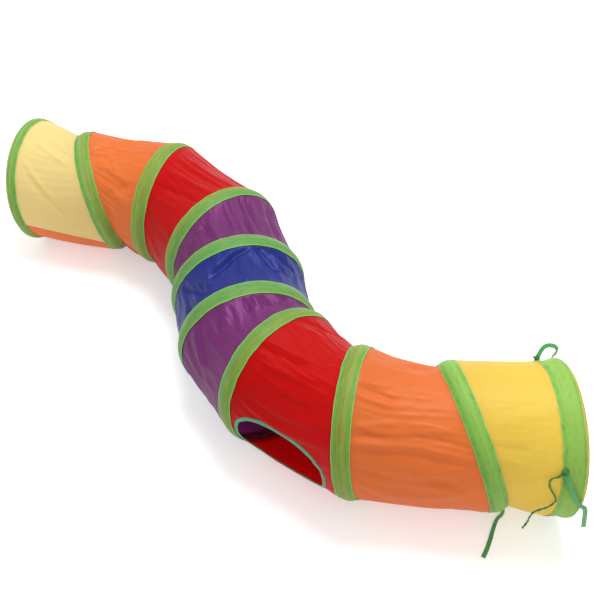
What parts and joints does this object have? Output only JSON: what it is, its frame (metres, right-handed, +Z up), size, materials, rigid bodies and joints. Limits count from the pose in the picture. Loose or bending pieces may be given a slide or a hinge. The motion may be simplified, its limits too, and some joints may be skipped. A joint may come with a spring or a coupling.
{
  "type": "cat tunnel",
  "caption": "Pop-up play tunnel of thin coloured cloth on sprung wire hoops, laid in an S on the floor, with green bindings, ribbon ties and a peephole in one side.",
  "frame": {"origin": "on the floor, under the middle of the tunnel's bounding box taken without its loose ribbons", "axes": "+Z up; +X from the mouth with the pale yellow section to the mouth with the ties; the first mouth lies towards +Y"},
  "size_m": [1.0162, 0.9326, 0.2494],
  "materials": {
    "pale_yellow_cloth": "thin shiny woven polyester, slightly see-through",
    "yellow_cloth": "thin shiny woven polyester, slightly see-through",
    "orange_cloth": "thin shiny woven polyester",
    "red_cloth": "thin shiny woven polyester",
    "purple_cloth": "thin shiny woven polyester",
    "blue_cloth": "thin shiny woven polyester",
    "green_tape": "ribbed woven binding tape, sewn along both edges",
    "teal_tape": "narrow folded binding tape",
    "spring_steel": "drawn spring wire, crimped ferrules"
  },
  "bodies": {
    "hoop_1": {"hoop_wire_1": "spring_steel", "hoop_ferrule_1": "spring_steel", "hoop_tape_1": "green_tape"},
    "hoop_2": {"hoop_wire_2": "spring_steel", "hoop_ferrule_2": "spring_steel", "hoop_tape_2": "green_tape", "section_1_pale_yellow": "pale_yellow_cloth", "section_1_lower_orange": "orange_cloth"},
    "hoop_3": {"hoop_wire_3": "spring_steel", "hoop_ferrule_3": "spring_steel", "hoop_tape_3": "green_tape", "section_2_orange": "orange_cloth", "section_2_lower_red": "red_cloth"},
    "hoop_4": {"hoop_wire_4": "spring_steel", "hoop_ferrule_4": "spring_steel", "hoop_tape_4": "green_tape", "section_3_red": "red_cloth", "section_3_lower_purple": "purple_cloth"},
    "hoop_5": {"hoop_wire_5": "spring_steel", "hoop_ferrule_5": "spring_steel", "hoop_tape_5": "green_tape", "section_4_purple": "purple_cloth", "section_4_lower_blue": "blue_cloth", "section_5_blue": "blue_cloth"},
    "hoop_6": {"hoop_wire_6": "spring_steel", "hoop_ferrule_6": "spring_steel", "hoop_tape_6": "green_tape", "section_6_purple": "purple_cloth"},
    "hoop_7": {"hoop_wire_7": "spring_steel", "hoop_ferrule_7": "spring_steel", "hoop_tape_7": "green_tape", "section_7_red": "red_cloth", "peephole_tape": "teal_tape"},
    "hoop_8": {"hoop_wire_8": "spring_steel", "hoop_ferrule_8": "spring_steel", "hoop_tape_8": "green_tape", "section_8_orange": "orange_cloth"},
    "hoop_9": {"hoop_wire_9": "spring_steel", "hoop_ferrule_9": "spring_steel", "hoop_tape_9": "green_tape", "section_9_yellow": "yellow_cloth", "tie_floor_ribbon": "green_tape"},
    "hoop_10": {"hoop_wire_10": "spring_steel", "hoop_ferrule_10": "spring_steel", "hoop_tape_10": "green_tape", "tie_top_knot": "green_tape", "tie_top_ribbon": "green_tape", "tie_front_knot": "green_tape", "tie_front_twist": "green_tape", "tie_front_ribbon": "green_tape"}
  },
  "joints": [
    {"name": "section_1_close", "type": "hinge", "parent": "hoop_2", "child": "hoop_1", "pos_m": [-0.30273, 0.62913, 0.24992], "axis": [-0.0752, -0.3584, 0.9305], "range_deg": [0, 22.29], "stiffness_Nm_per_rad": 5.166, "springref_deg": -1.91, "deforming": ["section_1_pale_yellow", "section_1_lower_orange", "hoop_tape_1"]},
    {"name": "section_2_close", "type": "hinge", "parent": "hoop_3", "child": "hoop_2", "pos_m": [-0.31949, 0.07908, 0.03421], "axis": [0.1371, 0.3692, -0.9192], "range_deg": [0, 34.29], "stiffness_Nm_per_rad": 2.217, "springref_deg": -2.92, "deforming": ["section_2_orange", "section_2_lower_red", "hoop_tape_2"]},
    {"name": "section_3_close", "type": "hinge", "parent": "hoop_4", "child": "hoop_3", "pos_m": [-0.37469, -0.03317, 0.12372], "axis": [0, 0, -1], "range_deg": [0, 28.5], "stiffness_Nm_per_rad": 4.676, "springref_deg": -2.01, "deforming": ["section_3_red", "section_3_lower_purple", "hoop_tape_3"]},
    {"name": "section_4_close", "type": "hinge", "parent": "hoop_5", "child": "hoop_4", "pos_m": [-0.34262, -0.02499, 0.12372], "axis": [0, 0, -1], "range_deg": [0, 22.5], "stiffness_Nm_per_rad": 3.872, "springref_deg": -2.21, "deforming": ["section_4_purple", "section_4_lower_blue", "hoop_tape_4"]},
    {"name": "section_5_close", "type": "slide", "parent": "hoop_5", "child": "hoop_6", "axis": [-0.1859, 0.9826, 0], "range_m": [0, 0.1122], "stiffness_N_per_m": 40, "springref_m": -0.012, "deforming": ["section_5_blue", "hoop_tape_6", "hoop_tape_5"]},
    {"name": "section_6_close", "type": "hinge", "parent": "hoop_6", "child": "hoop_7", "pos_m": [0.17373, -0.06349, 0.16442], "axis": [0.1752, 0.1271, -0.9763], "range_deg": [0, 28.18], "stiffness_Nm_per_rad": 1.522, "springref_deg": -3.52, "deforming": ["section_6_purple", "hoop_tape_7"]},
    {"name": "section_7_close", "type": "hinge", "parent": "hoop_7", "child": "hoop_8", "pos_m": [0.26117, -0.05981, 0.13817], "axis": [0.0287, 0.0532, -0.9982], "range_deg": [0, 33.57], "stiffness_Nm_per_rad": 2.668, "springref_deg": -2.66, "deforming": ["section_7_red", "peephole_tape", "hoop_tape_8"]},
    {"name": "section_8_close", "type": "hinge", "parent": "hoop_8", "child": "hoop_9", "pos_m": [0.31428, 0.0369, 0.22034], "axis": [0.0136, 0.2674, -0.9635], "range_deg": [0, 26.38], "stiffness_Nm_per_rad": 5.705, "springref_deg": -1.82, "deforming": ["section_8_orange", "hoop_tape_9"]},
    {"name": "section_9_close", "type": "hinge", "parent": "hoop_9", "child": "hoop_10", "pos_m": [0.41589, -0.53793, -0.23101], "axis": [-0.057, -0.8586, 0.5096], "range_deg": [0, 17.78], "stiffness_Nm_per_rad": 6.935, "springref_deg": -1.65, "deforming": ["section_9_yellow", "hoop_tape_10", "tie_front_twist"]}
  ]
}
